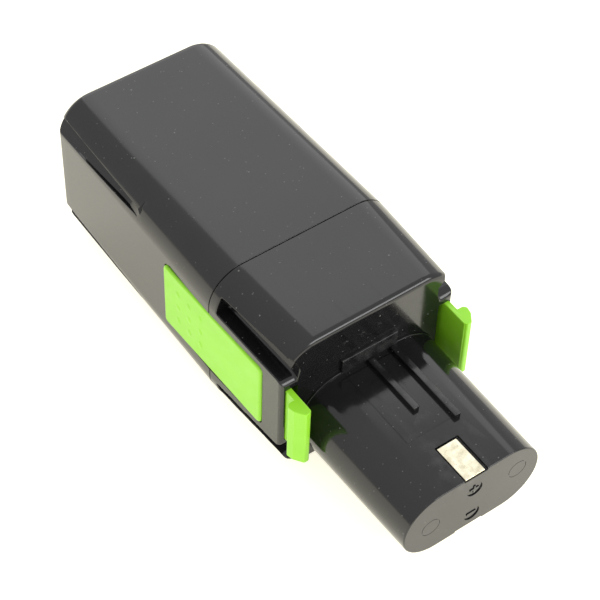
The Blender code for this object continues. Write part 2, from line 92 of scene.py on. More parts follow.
TOTAL_LENGTH = millimetres(CAD_BOUNDS[1]).x
SHOULDER_X = millimetres(MOUNTS["shoulder_face"]).x
BARB_X = millimetres(MOUNTS["right_catch_face"]).x
TOWER_Z = millimetres(MOUNTS["tower_tip_face"]).z
SEAM_GAP = 0.3
SEAM_X = SHELL_HIGH.x + SEAM_GAP / 2
SEAM_HALF_WIDTH = SHELL_HIGH.y
SEAM_HEIGHT = SHELL_HIGH.z
MID_Z = SEAM_HEIGHT / 2
HOOK_TIP_X = LATCH_HIGH.x
PANEL_REAR_Y = LATCH_HIGH.y     # outermost face of the press panel, at its rear end

# ---------------------------------------------------------------- sizes used in several places

SIDES = (1, -1)                 # right and left, and also up and down
CORNERS = [(side, level) for side in SIDES for level in SIDES]
FIT_GAP = 0.3                   # between parts that move on each other
REAR_TAPER = 1.75               # the half width lost from the seam to the rear end
REAR_DROP = 0.9                 # and the height lost
FRONT_TAPER = 1.3
FRONT_DROP = 0.4
EDGE_RADIUS = 12.5              # the four long edges
REAR_EDGE_RADIUS = 3.1
SHOULDER_EDGE_RADIUS = 1.9
SEAM_ROUND = 0.22
WINDOW_ROUND = 0.2
WALL = 2.2
OUTSIDE_Y = 38.0                # clear of the housing's sides, where cutters end
TOWER_BASE_HALF = (26.6, 13.4)
TOWER_TIP_HALF = (25.8, 13.1)
TOWER_WALL = 1.65
TOWER_LENGTH = TOTAL_LENGTH - SHOULDER_X
TIP_ROUND = 0.45
WINDOW_X = (66.6, 119.3)        # the opening for a press panel
WINDOW_Z = (15.2, 42.8)
WINDOW_CORNER = 2.0
HOOK_HALF_HEIGHT = 12.1
POST_X = 108.0                  # the guide posts and springs behind each latch
POST_Z = (21.0, 37.0)

# ---------------------------------------------------------------- camera, floor and light

CAMERA_AZIMUTH = 52.6           # degrees round from -Y towards +X
CAMERA_ELEVATION = 49.74
CAMERA_ROLL = 2.11
CAMERA_PLACE = (0.3257, -0.2470, 0.5079)
CAMERA_LENS = 118.52
SENSOR_WIDTH = 36.0
FLOOR_RADIUS = 4.0
FLOOR_GAP = 0.0002              # keeps the floor clear of the pack's lowest face


def make_camera():
    azimuth, elevation, roll = (math.radians(a) for a in (CAMERA_AZIMUTH, CAMERA_ELEVATION, CAMERA_ROLL))
    back = Vector((math.sin(azimuth) * math.cos(elevation), -math.cos(azimuth) * math.cos(elevation),
                   math.sin(elevation)))
    right = Vector((math.cos(azimuth), math.sin(azimuth), 0))
    up = back.cross(right)
    turned_right = math.cos(roll) * right + math.sin(roll) * up
    turned_up = math.cos(roll) * up - math.sin(roll) * right
    data = bpy.data.cameras.new("camera")
    data.lens = CAMERA_LENS
    data.sensor_width = SENSOR_WIDTH
    data.clip_start = 0.01
    camera = bpy.data.objects.new("camera", data)
    bpy.context.scene.collection.objects.link(camera)
    turn = Matrix((turned_right, turned_up, back)).transposed().to_4x4()
    camera.matrix_world = Matrix.Translation(Vector(CAMERA_PLACE)) @ turn
    bpy.context.scene.camera = camera


def make_floor():
    bm = bmesh.new()
    bmesh.ops.create_circle(bm, cap_ends=True, radius=FLOOR_RADIUS, segments=96)
    mesh = bpy.data.meshes.new("floor")
    bm.to_mesh(mesh)
    bm.free()
    floor = bpy.data.objects.new("floor", mesh)
    floor.location.z = -FLOOR_GAP
    bpy.context.scene.collection.objects.link(floor)
    paper = bpy.data.materials.new("pale_paper")
    paper.use_nodes = True
    shader = paper.node_tree.nodes["Principled BSDF"]
    shader.inputs["Base Color"].default_value = (0.86, 0.84, 0.75, 1)
    shader.inputs["Roughness"].default_value = 0.9
    shader.inputs["Specular IOR Level"].default_value = 0.2
    shader.inputs["Emission Color"].default_value = (1.0, 0.95, 0.79, 1)
    shader.inputs["Emission Strength"].default_value = 0.85
    mesh.materials.append(paper)


def softbox(name, place, target, size, power):
    data = bpy.data.lights.new(name, "AREA")
    data.shape = "RECTANGLE"
    data.size, data.size_y = size
    data.energy = power
    lamp = bpy.data.objects.new(name, data)
    lamp.location = place
    lamp.rotation_mode = "QUATERNION"
    lamp.rotation_quaternion = (Vector(target) - Vector(place)).to_track_quat("-Z", "Y")
    bpy.context.scene.collection.objects.link(lamp)


def make_world():
    """A pale studio that is a little dimmer low down."""
    world = bpy.data.worlds.new("studio")
    bpy.context.scene.world = world
    world.use_nodes = True
    nodes, links = world.node_tree.nodes, world.node_tree.links
    place = nodes.new("ShaderNodeTexCoord")
    parts = nodes.new("ShaderNodeSeparateXYZ")
    ramp = nodes.new("ShaderNodeValToRGB")
    links.new(place.outputs["Generated"], parts.inputs[0])
    links.new(parts.outputs["Z"], ramp.inputs[0])
    links.new(ramp.outputs[0], nodes["Background"].inputs[0])
    ramp.color_ramp.elements[0].color = (0.80, 0.80, 0.79, 1)
    ramp.color_ramp.elements[1].color = (1.0, 1.0, 0.99, 1)
    nodes["Background"].inputs[1].default_value = 1.0


make_camera()
make_floor()
make_world()
softbox("back_left", (-0.84, 0.50, 0.70), (0, 0, 0.03), (1.2, 0.92), 3.8)
softbox("front_right", (0.90, 0.46, 0.60), (0, 0, 0.05), (0.75, 0.45), 5.6)
bpy.context.scene.view_settings.view_transform = "Standard"


# ---------------------------------------------------------------- materials

class Surface:
    """A Principled material whose colour, roughness and bump come from procedural patterns in metres."""

    def __init__(self, name, metallic=0.0, specular=0.5):
        self.material = bpy.data.materials.new(name)
        self.material.use_nodes = True
        self.nodes = self.material.node_tree.nodes
        self.links = self.material.node_tree.links
        self.shader = self.nodes["Principled BSDF"]
        self.shader.inputs["Metallic"].default_value = metallic
        self.shader.inputs["Specular IOR Level"].default_value = specular
        self.place = self.nodes.new("ShaderNodeTexCoord").outputs["Object"]
        self.height = None

    def stretched(self, scale):
        mapping = self.nodes.new("ShaderNodeMapping")
        mapping.inputs["Scale"].default_value = scale
        self.links.new(self.place, mapping.inputs["Vector"])
        return mapping.outputs[0]

    def noise(self, per_metre, detail, stretch=(1, 1, 1)):
        noise = self.nodes.new("ShaderNodeTexNoise")
        noise.inputs["Scale"].default_value = per_metre
        noise.inputs["Detail"].default_value = detail
        self.links.new(self.stretched(stretch), noise.inputs["Vector"])
        return noise.outputs[0]

    def remap(self, value, low, high, to_low=0.0, to_high=1.0):
        remap = self.nodes.new("ShaderNodeMapRange")
        remap.inputs["From Min"].default_value = low
        remap.inputs["From Max"].default_value = high
        remap.inputs["To Min"].default_value = to_low
        remap.inputs["To Max"].default_value = to_high
        self.links.new(value, remap.inputs["Value"])
        return remap.outputs[0]

    def combine(self, operation, first, second):
        maths = self.nodes.new("ShaderNodeMath")
        maths.operation = operation
        maths.use_clamp = True
        for socket, value in zip(maths.inputs, (first, second)):
            if isinstance(value, (int, float)):
                socket.default_value = value
            else:
                self.links.new(value, socket)
        return maths.outputs[0]

    def blend(self, share, first, second):
        mix = self.nodes.new("ShaderNodeMix")
        mix.data_type = "RGBA"
        self.links.new(share, mix.inputs[0])
        for socket, colour in ((mix.inputs[6], first), (mix.inputs[7], second)):
            if isinstance(colour, tuple):
                socket.default_value = (*colour, 1)
            else:
                self.links.new(colour, socket)
        return mix.outputs[2]

    def specks(self, per_metre, radius, share):
        """Small round specks in some cells of a scattered grid. The radius is a share of the grid's pitch."""
        cells = self.nodes.new("ShaderNodeTexVoronoi")
        cells.inputs["Scale"].default_value = per_metre
        self.links.new(self.place, cells.inputs["Vector"])
        near = self.remap(cells.outputs["Distance"], radius * 0.5, radius, 1, 0)
        chosen = self.remap(self.noise(per_metre * 2, 1), share, share + 0.05)
        return self.combine("MULTIPLY", near, chosen)

    def worn_edges(self, per_metre, detail, low, high, most):
        """Where the surface turns sharply outwards and so wears, in the patches that a noise leaves."""
        patches = self.remap(self.noise(per_metre, detail), low, high, 0, most)
        edges = self.remap(self.nodes.new("ShaderNodeNewGeometry").outputs["Pointiness"], 0.52, 0.6)
        return self.combine("MULTIPLY", edges, patches)

    def bump(self, value, strength, distance_mm):
        bump = self.nodes.new("ShaderNodeBump")
        bump.inputs["Strength"].default_value = strength
        bump.inputs["Distance"].default_value = distance_mm * MM
        self.links.new(value, bump.inputs["Height"])
        if self.height is not None:
            self.links.new(self.height, bump.inputs["Normal"])
        self.height = bump.outputs[0]
        self.links.new(self.height, self.shader.inputs["Normal"])

    def colour(self, value):
        self.links.new(value, self.shader.inputs["Base Color"])

    def roughness(self, value):
        self.links.new(value, self.shader.inputs["Roughness"])


def gloss_black():
    """Polished black plastic with hairline scuffs, dust specks and slightly paler edges."""
    surface = Surface("gloss_black_plastic")
    cloud = surface.noise(28, 4)
    base = surface.blend(surface.remap(cloud, 0.35, 0.7), (0.0070, 0.0070, 0.0078), (0.0110, 0.0110, 0.0118))
    base = surface.blend(surface.worn_edges(240, 5, 0.42, 0.62, 0.5), base, (0.05, 0.05, 0.05))
    specks = surface.specks(420, 0.12, 0.42)
    large = surface.specks(150, 0.055, 0.52)
    dust = surface.combine("MAXIMUM", surface.combine("MULTIPLY", specks, 0.6), large)
    surface.colour(surface.blend(dust, base, (0.13, 0.13, 0.125)))
    scuff = surface.remap(surface.noise(420, 6, (0.08, 1, 1)), 0.55, 0.75, 0, 0.07)
    rough = surface.combine("ADD", surface.remap(cloud, 0.3, 0.7, 0.10, 0.13), scuff)
    surface.roughness(surface.combine("ADD", rough, surface.combine("MULTIPLY", dust, 0.5)))
    surface.bump(surface.noise(900, 2), 0.02, 0.05)
    surface.bump(dust, 0.4, 0.06)
    return surface.material


def lime_plastic():
    """Satin lime moulding with faint flow marks and a fine moulded grain."""
    surface = Surface("lime_plastic", specular=0.45)
    flow = surface.noise(60, 4, (0.3, 1, 1))
    base = surface.blend(surface.remap(flow, 0.3, 0.7), (0.26, 0.655, 0.018), (0.29, 0.70, 0.028))
    base = surface.blend(surface.worn_edges(300, 5, 0.4, 0.65, 0.4), base, (0.45, 0.82, 0.15))
    soil = surface.remap(surface.noise(900, 2), 0.70, 0.78, 0, 0.3)
    surface.colour(surface.blend(soil, base, (0.14, 0.36, 0.02)))
    surface.roughness(surface.remap(surface.noise(180, 4), 0.3, 0.7, 0.30, 0.42))
    surface.bump(surface.noise(2600, 2), 0.10, 0.03)
    return surface.material


def plated(name, bright, dull, rough, brushed=(1, 1, 1)):
    """Bare or plated metal with tarnish, fine brushing and pitting."""
    surface = Surface(name, metallic=1.0)
    stain = surface.remap(surface.noise(420, 5), 0.36, 0.68)
    base = surface.blend(stain, bright, dull)
    pits = surface.remap(surface.noise(2400, 3), 0.62, 0.72, 0, 0.6)
    surface.colour(surface.blend(pits, base, tuple(0.5 * level for level in dull)))
    grain = surface.noise(1800, 4, brushed)
    surface.roughness(surface.remap(grain, 0.3, 0.7, rough - 0.07, rough + 0.10))
    surface.bump(grain, 0.15, 0.02)
    return surface.material


def moulded(name, first, second, rough, grain_per_metre, grain_mm, specular=0.45):
    """Moulded, woven or foamed material with a two-tone mottle, worn edges and a surface grain."""
    surface = Surface(name, specular=specular)
    mottle = surface.remap(surface.noise(grain_per_metre / 6, 4), 0.35, 0.65)
    base = surface.blend(mottle, first, second)
    paler = tuple(min(1.0, level * 1.5 + 0.03) for level in second)
    surface.colour(surface.blend(surface.worn_edges(350, 4, 0.4, 0.6, 0.6), base, paler))
    grain = surface.noise(grain_per_metre, 3)
    surface.roughness(surface.remap(grain, 0.3, 0.7, rough - 0.06, rough + 0.08))
    surface.bump(grain, 0.35, grain_mm)
    return surface.material


BLACK = gloss_black()
LIME = lime_plastic()
CONTACT = plated("tarnished_nickel", (0.90, 0.85, 0.67), (0.60, 0.55, 0.40), 0.30, (0.2, 1, 1))
STRIP = plated("bright_nickel_strip", (0.72, 0.71, 0.67), (0.58, 0.56, 0.52), 0.22, (1, 0.2, 1))
STEEL = plated("zinc_plated_steel", (0.60, 0.60, 0.61), (0.44, 0.44, 0.46), 0.28)
NYLON = moulded("glass_filled_nylon", (0.045, 0.045, 0.05), (0.07, 0.07, 0.075), 0.5, 1500, 0.04)
SLEEVE = moulded("blue_shrink_sleeve", (0.012, 0.045, 0.14), (0.02, 0.065, 0.19), 0.28, 700, 0.02)
FOAM = moulded("closed_cell_foam", (0.02, 0.02, 0.02), (0.05, 0.05, 0.05), 0.88, 1100, 0.25, 0.2)
CARD = moulded("fish_paper", (0.40, 0.34, 0.19), (0.50, 0.44, 0.27), 0.8, 1700, 0.05, 0.25)
RED_WIRE = moulded("red_silicone", (0.38, 0.012, 0.012), (0.46, 0.02, 0.02), 0.42, 1300, 0.02)
BLACK_WIRE = moulded("black_silicone", (0.010, 0.010, 0.012), (0.02, 0.02, 0.022), 0.42, 1300, 0.02)

SLOT_MATERIALS = {"housing": BLACK, "latch": LIME, "contact": CONTACT, "nickel_strip": STRIP, "steel": STEEL,
                  "carrier": NYLON, "cell_sleeve": SLEEVE, "foam": FOAM, "card": CARD,
                  "red_wire": RED_WIRE, "black_wire": BLACK_WIRE}


# ---------------------------------------------------------------- mesh helpers

MERGE_DISTANCE = 0.002
BODY_CORNER_STEPS = 36
TOWER_END_STEPS = 28


def solid(name, bm):
    """Turns a bmesh in millimetres into an object in the frame."""
    bmesh.ops.recalc_face_normals(bm, faces=bm.faces)
    for vert in bm.verts:
        vert.co = at(vert.co)
    mesh = bpy.data.meshes.new(name)
    bm.to_mesh(mesh)
    bm.free()
    obj = bpy.data.objects.new(name, mesh)
    bpy.context.scene.collection.objects.link(obj)
    return obj


def loft(name, rings):
    """A closed solid through rings that have equal point counts, capped at both ends."""
    bm = bmesh.new()
    loops = [[bm.verts.new(point) for point in ring] for ring in rings]
    count = len(rings[0])
    for first, second in zip(loops, loops[1:]):
        for i in range(count):
            j = (i + 1) % count
            bm.faces.new((first[i], first[j], second[j], second[i]))
    bm.faces.new(loops[0])
    bm.faces.new(loops[-1])
    return solid(name, bm)


def extrusion(name, outline, start_x, end_x, side=1):
    """A solid along x whose section is an outline in y and z."""
    return loft(name, [[(x, side * y, z) for y, z in outline] for x in (start_x, end_x)])


def block(name, low, high, rounding=0.0, segments=3):
    """A box between two corners with rounded edges."""
    bm = bmesh.new()
    bmesh.ops.create_cube(bm, size=1)
    for vert in bm.verts:
        for axis in range(3):
            pair = sorted((low[axis], high[axis]))
            vert.co[axis] = pair[0] if vert.co[axis] < 0 else pair[1]
    if rounding:
        bmesh.ops.bevel(bm, geom=bm.edges[:], offset=rounding, segments=segments, profile=0.5, affect="EDGES")
    return solid(name, bm)


def rod(name, start, end, radius, segments=48, tip=0.0):
    """A round bar between two points, with its far rim rounded when asked."""
    start, end = Vector(start), Vector(end)
    along = end - start
    bm = bmesh.new()
    bmesh.ops.create_cone(bm, cap_ends=True, segments=segments, radius1=radius, radius2=radius,
                          depth=along.length)
    if tip:
        rim = [edge for edge in bm.edges if all(vert.co.z > 0 for vert in edge.verts)]
        bmesh.ops.bevel(bm, geom=rim, offset=tip, segments=3, profile=0.5, affect="EDGES")
    turn = Vector((0, 0, 1)).rotation_difference(along).to_matrix()
    bmesh.ops.rotate(bm, verts=bm.verts, matrix=turn)
    bmesh.ops.translate(bm, verts=bm.verts, vec=(start + end) / 2)
    return solid(name, bm)


def combine(target, operation, *tools):
    """Joins or cuts the target with the tools, which are used up."""
    for tool in tools:
        step = target.modifiers.new(tool.name, "BOOLEAN")
        step.operation = operation
        step.object = tool
    depsgraph = bpy.context.evaluated_depsgraph_get()
    mesh = bpy.data.meshes.new_from_object(target.evaluated_get(depsgraph))
    target.modifiers.clear()
    target.data = mesh
    for tool in tools:
        bpy.data.objects.remove(tool, do_unlink=True)


def soften(obj, width, where, segments=2, least_angle=40):
    """Rounds the sharp outward edges whose middle is where the test says."""
    bm = bmesh.new()
    bm.from_mesh(obj.data)
    bmesh.ops.remove_doubles(bm, verts=bm.verts, dist=MERGE_DISTANCE * MM)
    chosen = []
    for edge in bm.edges:
        if edge.is_manifold and edge.calc_face_angle_signed(0) > math.radians(least_angle):
            if where(millimetres((edge.verts[0].co + edge.verts[1].co) / 2)):
                chosen.append(edge)
    bmesh.ops.bevel(bm, geom=chosen, offset=width * MM, segments=segments, profile=0.5, affect="EDGES",
                    clamp_overlap=False, miter_outer="ARC")
    bmesh.ops.remove_doubles(bm, verts=bm.verts, dist=MERGE_DISTANCE * MM)
    bm.to_mesh(obj.data)
    bm.free()


def dress(obj, slot, body, *nodes, sharp_angle=38):
    """Smooth shading that keeps flat faces flat, the slot's material, and the piece's place in the frame."""
    obj.data.materials.clear()
    obj.data.materials.append(SLOT_MATERIALS[slot])
    obj.data.shade_smooth()
    obj.data.set_sharp_from_angle(angle=math.radians(sharp_angle))
    weighting = obj.modifiers.new("flat faces stay flat", "WEIGHTED_NORMAL")
    weighting.keep_sharp = True
    weighting.weight = 60
    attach(obj, body)
    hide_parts(*nodes)


def mix(start, end, share):
    return start + (end - start) * share


def arc(centre, radius, start, end, steps):
    """Points on a circle in the plane of two coordinates, from one angle in degrees to another."""
    for step in range(steps + 1):
        angle = math.radians(mix(start, end, step / steps))
        yield centre[0] + radius * math.cos(angle), centre[1] + radius * math.sin(angle)


def rounded_rectangle(low, high, radius, steps=8):
    """Outline points counter-clockwise, for any two coordinates."""
    corners = ((high[0] - radius, high[1] - radius, 0), (low[0] + radius, high[1] - radius, 90),
               (low[0] + radius, low[1] + radius, 180), (high[0] - radius, low[1] + radius, 270))
    outline = []
    for centre_a, centre_b, start in corners:
        outline.extend(arc((centre_a, centre_b), radius, start, start + 90, steps))
    return outline


def rounded_corners(points, radii, steps=5):
    """The outline through the points with each corner replaced by an arc."""
    outline = []
    count = len(points)
    for i, (point, radius) in enumerate(zip(points, radii)):
        corner = Vector(point)
        before = (Vector(points[i - 1]) - corner).normalized()
        after = (Vector(points[(i + 1) % count]) - corner).normalized()
        if not radius:
            outline.append(tuple(corner))
            continue
        half = before.angle(after) / 2
        centre = corner + (before + after).normalized() * (radius / math.sin(half))
        first = corner + before * (radius / math.tan(half)) - centre
        last = corner + after * (radius / math.tan(half)) - centre
        for step in range(steps + 1):
            outline.append(tuple(centre + first.slerp(last, step / steps)))
    return outline


def grown(outline, distance):
    """The outline moved outwards by a distance. The points run counter-clockwise or clockwise."""
    area = sum(a[0] * b[1] - b[0] * a[1] for a, b in zip(outline, outline[1:] + outline[:1]))
    turn = 1 if area > 0 else -1
    moved = []
    count = len(outline)
    for i, point in enumerate(outline):
        ahead, behind = Vector(outline[(i + 1) % count]), Vector(outline[i - 1])
        along = (ahead - behind).normalized()
        moved.append((point[0] + turn * along.y * distance, point[1] - turn * along.x * distance))
    return moved


def edge_steps(radius, count=8):
    """Distance from the end face and inset, for each ring of a rounded edge, from the end face inwards."""
    angles = [math.radians(90 * step / count) for step in range(count, -1, -1)]
    return [(radius * (1 - math.sin(angle)), radius * (1 - math.cos(angle))) for angle in angles]


def body_size(x):
    """The housing's half width and height, largest at the seam, because both mouldings taper away from it."""
    if x <= SEAM_X:
        share, taper, drop = (SEAM_X - x) / SEAM_X, REAR_TAPER, REAR_DROP
    else:
        share, taper, drop = (x - SEAM_X) / (SHOULDER_X - SEAM_X), FRONT_TAPER, FRONT_DROP
    return SEAM_HALF_WIDTH - taper * share, SEAM_HEIGHT - drop * share


def body_ring(x, inset=0.0):
    half_width, top = body_size(x)
    outline = rounded_rectangle((inset - half_width, inset), (half_width - inset, top - inset),
                                EDGE_RADIUS - inset, BODY_CORNER_STEPS)
    return [(x, y, z) for y, z in outline]


def stadium(x, half_width, half_height):
    """A round-ended section, centred on the tower."""
    ring = []
    for side, start in ((1, -90), (-1, 90)):
        centre = (side * (half_width - half_height), TOWER_Z)
        ring.extend((x, y, z) for y, z in arc(centre, half_height, start, start + 180, TOWER_END_STEPS))
    return ring


def tower_half(x):
    """Half width and half height of the tower, which narrows towards its tip."""
    share = (x - SHOULDER_X) / TOWER_LENGTH
    return [mix(base, tip, share) for base, tip in zip(TOWER_BASE_HALF, TOWER_TIP_HALF)]


def tower_ring(x, inset=0.0):
    half_width, half_height = tower_half(x)
    return stadium(x, half_width - inset, half_height - inset)


def on_corner(x, outline, side, level):
    """An outline drawn for the upper right long edge, placed on one of the four."""
    return [(x, side * y, MID_Z + level * (z - MID_Z)) for y, z in outline]


# ---------------------------------------------------------------- rear shell

SHELL_RINGS_X = (6.0, 14.0, 22.0, 30.0, 38.0, 44.0, 48.0, 52.5, 60.0, 66.0, 78.0)
WINDOW_INNER_Y = 28.5
GATE_RADIUS = 2.4
GATE_DEPTH = 0.12
RECESS_ROUND = 0.12
RECESS_ROUND_END_X = 47.5       # further forwards the recess runs out with crisp edges
RECESS_HEAD = 0.75              # how far up the recess its wall turns out to the lip
# Along the recess: x, its outer and inner height, the width of its floor, and how steeply its wall leans in.
RECESS_STOPS = (
    (-1.0, 45.9, 51.5, 0.3, 0.80),
    (20.0, 46.6, 51.3, 0.8, 0.80),
    (40.0, 47.6, 51.0, 1.35, 0.80),
    (44.0, 47.9, 50.9, 1.2, 0.76),
    (47.0, 48.1, 50.9, 0.6, 0.66),
    (49.4, 48.2, 50.6, 0.2, 0.52),
    (51.2, 48.3, 49.7, -0.4, 0.30),
)


def button_window(side):
    """The opening for a press panel, with rounded corners."""
    outline = rounded_rectangle((WINDOW_X[0], WINDOW_Z[0]), (WINDOW_X[1], WINDOW_Z[1]), WINDOW_CORNER)
    return loft("window", [[(x, side * y, z) for x, z in outline] for y in (WINDOW_INNER_Y, OUTSIDE_Y)])


def corner_recess(side, level):
    """An undercut groove along a long edge, open at the rear, whose floor and wall run out forwards."""
    def section(x, outer_z, inner_z, floor, lean):
        half_width, top = body_size(x)
        surface = []
        for z in (outer_z, inner_z):
            rise = z - (top - EDGE_RADIUS)
            surface.append(half_width - EDGE_RADIUS + math.sqrt(EDGE_RADIUS ** 2 - rise ** 2))
        foot = Vector((surface[0] - floor, outer_z))
        head_z = mix(outer_z, inner_z, RECESS_HEAD)
        head = Vector((foot.x - (head_z - outer_z) * lean, head_z))
        lip = Vector((surface[1], inner_z))
        beyond_lip = lip + (lip - head).normalized() * 6
        return on_corner(x, (Vector((foot.x + 8, outer_z)), foot, head, lip, beyond_lip), side, level)

    return loft("recess", [section(*stop) for stop in RECESS_STOPS])


def make_rear_shell():
    """A deep tapered cup with rounded rear edges, four corner recesses and half of each window."""
    rings = [body_ring(distance, inset) for distance, inset in edge_steps(REAR_EDGE_RADIUS)]
    rings.extend(body_ring(x) for x in SHELL_RINGS_X)
    rings.extend(body_ring(SHELL_HIGH.x - distance, inset)
                 for distance, inset in reversed(edge_steps(SEAM_ROUND, 3)))
    rings.append(body_ring(SHELL_HIGH.x, WALL))
    rings.append(body_ring(WALL + REAR_EDGE_RADIUS, WALL))
    rings.append(body_ring(WALL, WALL + 1.0))
    shell = loft("rear_shell_moulding", rings)
    combine(shell, "DIFFERENCE", *[corner_recess(*corner) for corner in CORNERS])
    soften(shell, RECESS_ROUND, lambda p: p.x < RECESS_ROUND_END_X and abs(p.y) > 22, least_angle=30)
    combine(shell, "DIFFERENCE", *[button_window(side) for side in SIDES])
    soften(shell, WINDOW_ROUND, lambda p: WINDOW_X[0] - 0.3 < p.x < SEAM_X - 0.6 and abs(p.y) > 32)
    combine(shell, "DIFFERENCE", rod("gate_mark", (-1, 0, MID_Z), (GATE_DEPTH, 0, MID_Z), GATE_RADIUS))
    dress(shell, "housing", "pack", "rear_shell", sharp_angle=32)


# ---------------------------------------------------------------- front housing

COLLAR_RINGS_X = (95.0, 103.0, 111.0, 119.0)
SPIGOT_HALF_WIDTH = 31.5
SPIGOT_Z = (2.5, 55.5)
SPIGOT_CORNER = 10.0
SPIGOT_REAR_X = 86.0

CHANNEL_START_X = 95.8
CHANNEL_START_ROUND = 0.8
CHANNEL_EDGE_ROUND = 0.38
CHANNEL_FLOOR_Y = (28.9, 27.2)  # the floor's inner edge, at the channel's start and at the shoulder
CHANNEL_FLOOR_Z = (46.2, 44.9)
CHANNEL_LIP_Y = (31.6, 29.9)
CHANNEL_ROUNDING = (0, 0.8, 0.7, 0.5, 0.35, 0)
TONGUE_ROUND = 3.4              # radius of the channel floor's front edge
TONGUE_FALL = 0.75 * TONGUE_ROUND

SUNK_X = SHOULDER_X - 1         # pieces on the shoulder start inside it
FLANGE_HALF = (26.7, 15.6)
FLANGE_HEIGHT = 0.8
FLANGE_ROUND = 0.18
BOSS_Y = (-10.9, 10.2)
BOSS_Z = (36.0, 41.8)
BOSS_HEIGHT = 1.1
BOSS_ROUND = 0.16
RIBS = ((0.0, 24.0), (8.7, 33.0))       # each rib's y and length
RIB_HALF_WIDTH = 1.1
RIB_TOP = 15.1                  # above the tower's centre
PAD_Y = (-9.6, 8.7)
PAD_LENGTH = 32.0
PAD_RISE = 0.12
MOULD_DOTS_Y = (-9.3, -3.1, 3.1, 9.3)
MOULD_DOT_Z = 48.7

ROOM_HALF = ((24, 2.6), (24, 13.6), (31.5, 13.6), (31.5, 44.4), (24, 44.4), (24, 55.2))
SPIGOT_ROOM_Z = (4.6, 53.4)

HOOK_SLOT_Y = (26.8, 31.4)
HOOK_SLOT_CORNER = 0.6
CONTACT_CUT_X = 167.0           # rear end of the recess and slot for a contact
UPPER_RECESS_Y = (-4.2, 4.7)
LOWER_RECESS_Y = (-5.3, 5.3)

PLUS_PLACE = (0.4, 26.3)
PLUS_BARS = ((1.7, 0.4), (0.4, 1.7))    # half width and half height of each bar
MINUS_PLACE = (0.6, 13.6)
MINUS_BARS = ((1.8, 0.45),)
MARK_RADIUS = 2.9
MARK_DEPTH = 0.35
EJECTOR_PLACES = ((-15.6, 19.8), (17.2, 23.2))
EJECTOR_RADII = (3.2, 3.4)
EJECTOR_DEPTH = 0.12
MARK_SEGMENTS = 64


def guide_channel(side, level):
    """An undercut groove along a long edge, open to the side, whose floor rounds off at the shoulder."""
    def section(x, grow=0.0, fall=0.0):
        share = (x - CHANNEL_START_X) / (SHOULDER_X - CHANNEL_START_X)
        floor_z = mix(*CHANNEL_FLOOR_Z, share) - fall
        corners = ((OUTSIDE_Y, floor_z), (mix(*CHANNEL_FLOOR_Y, share), floor_z), (26.3, 49.2 - 0.9 * fall),
                   (26.4, 50.8 - 0.3 * fall), (mix(*CHANNEL_LIP_Y, share), 53.0 + 0.3 * fall),
                   (OUTSIDE_Y, 57.0 + 0.3 * fall))
        return on_corner(x, grown(rounded_corners(corners, CHANNEL_ROUNDING), grow), side, level)

    rings = [section(CHANNEL_START_X + distance, grow=-inset)
             for distance, inset in edge_steps(CHANNEL_START_ROUND, 4)]
    for distance, fallen in reversed(edge_steps(1.0)):
        rings.append(section(SHOULDER_X - TONGUE_ROUND * distance, fall=TONGUE_FALL * fallen))
    rings.append(section(SHOULDER_X + 3.0, fall=TONGUE_FALL))
    return loft("guide_channel", rings)


def make_collar():
    """The collar with its guide channels, not yet hollow."""
    rear_x = SEAM_X + SEAM_GAP / 2
    rings = [body_ring(rear_x + distance, inset) for distance, inset in edge_steps(SEAM_ROUND, 3)]
    rings.extend(body_ring(x) for x in COLLAR_RINGS_X)
    rings.extend(body_ring(SHOULDER_X - distance, inset)
                 for distance, inset in reversed(edge_steps(SHOULDER_EDGE_RADIUS)))
    collar = loft("front_housing_moulding", rings)
    combine(collar, "DIFFERENCE", *[guide_channel(*corner) for corner in CORNERS])
    soften(collar, CHANNEL_EDGE_ROUND,
           lambda p: COLLAR_RINGS_X[0] < p.x < SHOULDER_X - 0.2 and abs(p.y) > 28, segments=3)
    return collar


def make_tower_solids():
    """The tower, and what stands on it and at its foot."""
    rings = [tower_ring(SHOULDER_X - 2.4)]
    rings.extend(tower_ring(TOTAL_LENGTH - distance, inset)
                 for distance, inset in reversed(edge_steps(TIP_ROUND, 6)))
    tower = loft("tower", rings)

    half_width, half_height = FLANGE_HALF
    rings = [stadium(SUNK_X, half_width, half_height)]
    for distance, inset in reversed(edge_steps(FLANGE_ROUND, 4)):
        rings.append(stadium(SHOULDER_X + FLANGE_HEIGHT - distance, half_width - inset, half_height - inset))
    flange = loft("flange", rings)

    boss = block("boss", (SUNK_X, BOSS_Y[0], BOSS_Z[0]),
                 (SHOULDER_X + BOSS_HEIGHT, BOSS_Y[1], BOSS_Z[1]), BOSS_ROUND)

    rings = []
    for x, inset in ((SUNK_X, 0.0), (SHOULDER_X + PAD_LENGTH - 0.3, 0.0), (SHOULDER_X + PAD_LENGTH, 0.1)):
        top = TOWER_Z + tower_half(x)[1] + PAD_RISE
        rings.append([(x, PAD_Y[0], top - 1), (x, PAD_Y[1], top - 1),
                      (x, PAD_Y[1], top - inset), (x, PAD_Y[0], top - inset)])
    pad = loft("pad", rings)

    ribs = [block("rib", (SHOULDER_X - 2, y - RIB_HALF_WIDTH, TOWER_Z + 12.0),
                  (SHOULDER_X + length, y + RIB_HALF_WIDTH, TOWER_Z + RIB_TOP), 0.25)
            for y, length in RIBS]
    dots = [rod("mould_dot", (SUNK_X, y, MOULD_DOT_Z), (SHOULDER_X + 0.3, y, MOULD_DOT_Z), 0.95, 32, 0.12)
            for y in MOULD_DOTS_Y]
    return [tower, flange, boss, pad, *ribs, *dots]


